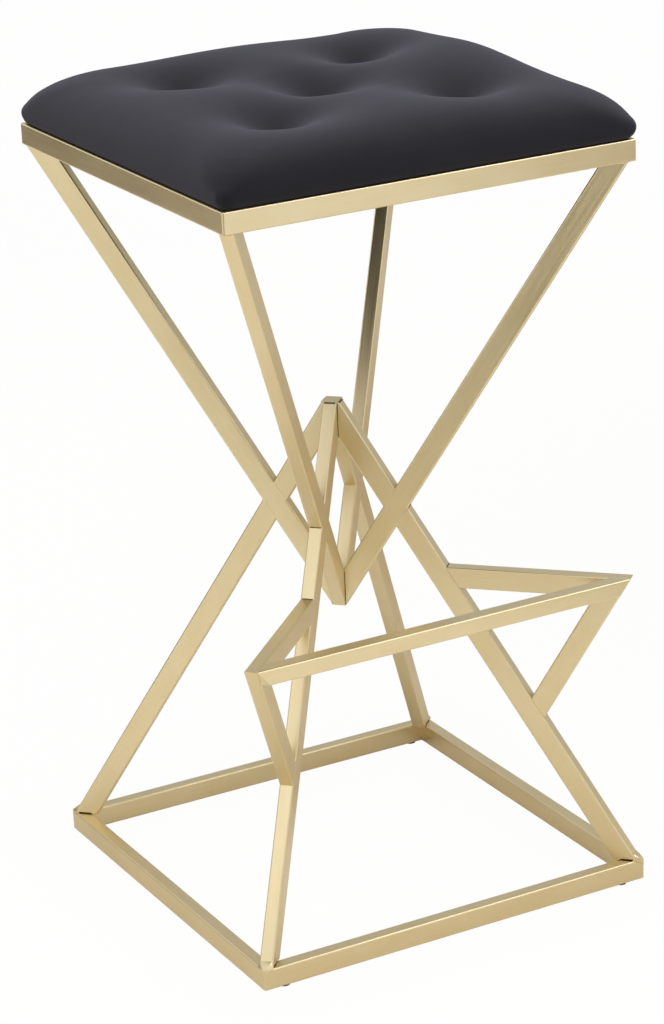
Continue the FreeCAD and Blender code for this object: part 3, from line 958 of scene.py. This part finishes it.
class StoolStage(bpy.types.Operator):
    """Sets up the floor, the light and the camera"""

    bl_idname = "stool.stage"
    bl_label = "Stage"

    def execute(self, context):
        scene = context.scene
        settings = scene.stool_stage
        scene.view_settings.view_transform = "Standard"
        self.lay_floor(settings)
        self.hang_cloths()
        self.light(settings)
        self.place_camera(scene)
        return {"FINISHED"}

    def seen_directly(self, tree):
        """1 on rays from the camera, mirrors and glass, 0 on the rays that only carry light."""
        path = node(tree, "ShaderNodeLightPath")
        either = node(tree, "ShaderNodeMath", {
            0: path.outputs["Is Camera Ray"], 1: path.outputs["Is Glossy Ray"]}, operation="MAXIMUM")
        every = node(tree, "ShaderNodeMath", {
            0: either.outputs[0], 1: path.outputs["Is Transmission Ray"]}, operation="MAXIMUM")
        return every.outputs[0]

    def lay_floor(self, settings):
        """A white floor that keeps a faint shadow."""
        side = 9.0
        front = -1.5
        mesh = bpy.data.meshes.new("floor")
        rim = [(-side, front, 0), (side, front, 0), (side, side, 0), (-side, side, 0)]
        mesh.from_pydata(rim, [], [(0, 1, 2, 3)])
        material, tree, output = blank_material("matt_white_floor")
        open_share = self.open_floor(tree)
        colour = node(tree, "ShaderNodeMix", {
            "Factor": open_share, "A": rgba(settings.floor_shade), "B": rgba(settings.floor)},
            data_type="RGBA")
        path = node(tree, "ShaderNodeLightPath")
        mirrored = node(tree, "ShaderNodeMath", {
            0: path.outputs["Is Glossy Ray"], 1: path.outputs["Is Transmission Ray"]}, operation="MAXIMUM")
        dimmed = node(tree, "ShaderNodeMath", {0: mirrored.outputs[0], 1: 0.15}, operation="MULTIPLY")
        share = node(tree, "ShaderNodeMath", {
            0: path.outputs["Is Camera Ray"], 1: 0.97, 2: dimmed.outputs[0]}, operation="MULTIPLY_ADD")
        strength = node(tree, "ShaderNodeMath", {
            0: path.outputs["Is Camera Ray"], 1: open_share}, operation="MAXIMUM")
        # The floor throws up less light than it shows, so the cushion darkens towards its foot.
        shown = node(tree, "ShaderNodeMix", {
            "Factor": self.seen_directly(tree), "A": rgba(settings.floor_bounce),
            "B": colour.outputs["Result"]}, data_type="RGBA")
        paint = node(tree, "ShaderNodeBsdfDiffuse", {"Color": shown.outputs["Result"]})
        glow = node(tree, "ShaderNodeEmission", {"Color": (1, 1, 1, 1), "Strength": strength.outputs[0]})
        mixed = node(tree, "ShaderNodeMixShader", {"Fac": share.outputs[0]})
        tree.links.new(paint.outputs[0], mixed.inputs[1])
        tree.links.new(glow.outputs[0], mixed.inputs[2])
        tree.links.new(mixed.outputs[0], output.inputs["Surface"])
        mesh.materials.append(material)
        floor = bpy.data.objects.new("floor", mesh)
        bpy.context.scene.collection.objects.link(floor)

    def open_floor(self, tree):
        """1 on the open floor, less in the soft shade along the base ring and to the stool's right."""
        place = node(tree, "ShaderNodeNewGeometry").outputs["Position"]
        level = node(tree, "ShaderNodeVectorMath", {0: place}, operation="ABSOLUTE").outputs["Vector"]
        apart = node(tree, "ShaderNodeSeparateXYZ", {"Vector": level})
        square = node(tree, "ShaderNodeMath", {
            0: apart.outputs["X"], 1: apart.outputs["Y"]}, operation="MAXIMUM").outputs[0]
        past = node(tree, "ShaderNodeMath", {0: square, 1: RING_HALF}, operation="SUBTRACT").outputs[0]
        from_ring = node(tree, "ShaderNodeMath", {0: past}, operation="ABSOLUTE").outputs[0]
        ring_shade = node(tree, "ShaderNodeMapRange", {
            "Value": from_ring, "From Min": 0.03, "From Max": 0.11, "To Min": 0.66},
            interpolation_type="SMOOTHSTEP")
        aside = node(tree, "ShaderNodeVectorMath", {0: place, 1: (1.0, 0.45, 0.0)}, operation="DISTANCE")
        side_shade = node(tree, "ShaderNodeMapRange", {
            "Value": aside.outputs["Value"], "From Max": 1.2, "To Min": 0.1},
            interpolation_type="SMOOTHSTEP")
        both = node(tree, "ShaderNodeMath", {
            0: ring_shade.outputs["Result"], 1: side_shade.outputs["Result"]}, operation="MULTIPLY")
        return both.outputs[0]

    def hang_cloths(self):
        """Glowing grey cloths, unseen by the camera, whose painted light and shade the gold mirrors: one
        behind, two in front.
        """
        behind = [(-2.4, 0.6, 0.9), (-1.6, 1.9, 0.9), (-0.6, 2.15, 0.9), (0.0, 2.3, 2.2),
                  (1.6, 1.9, 2.2), (2.4, 0.6, 2.2), (2.4, -0.1, 2.2)]
        self.hang_cloth("back_cloth", behind, (-1.2, "#7c7362"), (0.8, "#c2c2c0"))
        front_left = [(-1.28, -0.37, 0.45), (-1.08, -0.57, 0.45), (-0.8, -0.88, 0.6), (-0.5, -1.15, 0.75)]
        self.hang_cloth("front_left_cloth", front_left, (-1.2, "#e6e2da"), (-0.86, "#807a6c"))
        front_right = [(0.5, -0.85, 0.9), (1.4, -0.75, 0.9)]
        self.hang_cloth("front_right_cloth", front_right, (0.5, "#c4bfb5"), (1.4, "#b0aba1"))

    def hang_cloth(self, name, plan, left, right):
        """One cloth along places with its height there; left and right are an X place and a colour. It glows
        in colours graded between the two: painted light, which no lamp casts.
        """
        mesh = bpy.data.meshes.new(name)
        verts = [(x, y, z) for x, y, height in plan for z in (0.0, height)]
        faces = [(2 * i, 2 * i + 2, 2 * i + 3, 2 * i + 1) for i in range(len(plan) - 1)]
        mesh.from_pydata(verts, [], faces)
        material, tree, output = blank_material("glowing_cloth_" + name)
        place = node(tree, "ShaderNodeNewGeometry").outputs["Position"]
        across = node(tree, "ShaderNodeSeparateXYZ", {"Vector": place}).outputs["X"]
        share = node(tree, "ShaderNodeMapRange", {
            "Value": across, "From Min": left[0], "From Max": right[0]}).outputs["Result"]
        colour = node(tree, "ShaderNodeMix", {
            "Factor": share, "A": rgba(linear(left[1])), "B": rgba(linear(right[1]))}, data_type="RGBA")
        # The cloth glows by its own graded colour and no lamp lights it: painted light and shade for the
        # gold to mirror.
        glow = node(tree, "ShaderNodeEmission", {"Color": colour.outputs["Result"], "Strength": 1.0})
        tree.links.new(glow.outputs[0], output.inputs["Surface"])
        mesh.materials.append(material)
        cloth = bpy.data.objects.new(name, mesh)
        bpy.context.scene.collection.objects.link(cloth)
        cloth.visible_camera = False

    def light(self, settings):
        """White sky for the eye and for mirrors, that lights most from above, and three soft lamps."""
        world = bpy.data.worlds.new("studio")
        world.use_nodes = True
        tree = world.node_tree
        tree.nodes.clear()
        output = node(tree, "ShaderNodeOutputWorld")
        toward = node(tree, "ShaderNodeTexCoord").outputs["Generated"]
        height = node(tree, "ShaderNodeSeparateXYZ", {"Vector": toward}).outputs["Z"]
        cast = node(tree, "ShaderNodeMapRange", {
            "Value": height, "From Min": -0.05, "From Max": 0.6, "To Min": settings.sky * 0.45,
            "To Max": settings.sky}).outputs["Result"]
        strength = node(tree, "ShaderNodeMapRange", {
            "Value": self.seen_directly(tree), "To Min": cast, "To Max": 1.0}).outputs["Result"]
        sky = node(tree, "ShaderNodeBackground", {"Color": (1, 1, 1, 1), "Strength": strength})
        tree.links.new(sky.outputs[0], output.inputs["Surface"])
        bpy.context.scene.world = world
        key = self.hang_lamp("key", 3.0, settings.key, (-0.6, -1.2, 3.6), (0, 0, 0))
        key.visible_glossy = False
        self.hang_lamp("left_softbox", 0.8, 0.8, (-1.3, -0.68, 0.95), (0, 0, 0.2))
        edge = self.hang_lamp("edge_lamp", 1.0, 9, (1.25, -1.15, 2.35), (0, 0, 0.3))
        edge.visible_diffuse = False

    def hang_lamp(self, name, size, power, place, aim):
        """A square soft lamp."""
        data = bpy.data.lights.new(name, "AREA")
        data.shape = "SQUARE"
        data.size = size
        data.energy = power
        lamp = bpy.data.objects.new(name, data)
        lamp.location = place
        lamp.rotation_euler = (Vector(aim) - Vector(place)).to_track_quat("-Z", "Y").to_euler()
        bpy.context.scene.collection.objects.link(lamp)
        return lamp

    def place_camera(self, scene):
        """Camera at the photograph's viewing angle, worked out from the rings' corners in it."""
        forward = Vector((0.4430, 0.8288, -0.3419)).normalized()
        right = Vector((0.8739, -0.4844, -0.0420))
        right = (right - forward * right.dot(forward)).normalized()
        up = right.cross(forward)
        data = bpy.data.cameras.new("camera")
        data.sensor_width = 36.0
        data.lens = 115.35
        camera = bpy.data.objects.new("camera", data)
        basis = Matrix((right, up, -forward)).transposed().to_4x4()
        basis.translation = Vector((-1.3577, -2.5303, 1.3971))
        camera.matrix_world = basis
        scene.collection.objects.link(camera)
        scene.camera = camera


PIECE_OPERATORS = (StoolGoldFrame, StoolWelds, StoolSeams, StoolCushion, StoolStitches, StoolDustCover,
                   StoolScrews, StoolHiddenParts, StoolStage)


class StoolPanel(bpy.types.Panel):
    """Lists the stool's pieces"""

    bl_idname = "VIEW3D_PT_stool"
    bl_label = "Bar stool"
    bl_space_type = "VIEW_3D"
    bl_region_type = "UI"
    bl_category = "Stool"

    def draw(self, context):
        for operator in PIECE_OPERATORS:
            self.layout.operator(operator.bl_idname)


SETTINGS = {
    "stool_frame": StoolFrameSettings, "stool_seat": StoolSeatSettings, "stool_stage": StoolStageSettings}
CLASSES = tuple(SETTINGS.values()) + PIECE_OPERATORS + (StoolPanel,)


def register():
    for cls in CLASSES:
        bpy.utils.register_class(cls)
    for name, group in SETTINGS.items():
        setattr(bpy.types.Scene, name, bpy.props.PointerProperty(type=group))


def unregister():
    for name in SETTINGS:
        delattr(bpy.types.Scene, name)
    for cls in reversed(CLASSES):
        bpy.utils.unregister_class(cls)


def main():
    register()
    bpy.ops.stool.gold_frame()
    bpy.ops.stool.welds()
    bpy.ops.stool.seams()
    bpy.ops.stool.cushion()
    bpy.ops.stool.stitches()
    bpy.ops.stool.dust_cover()
    bpy.ops.stool.screws()
    bpy.ops.stool.hidden_parts()
    bpy.ops.stool.stage()


if __name__ == "__main__":
    main()
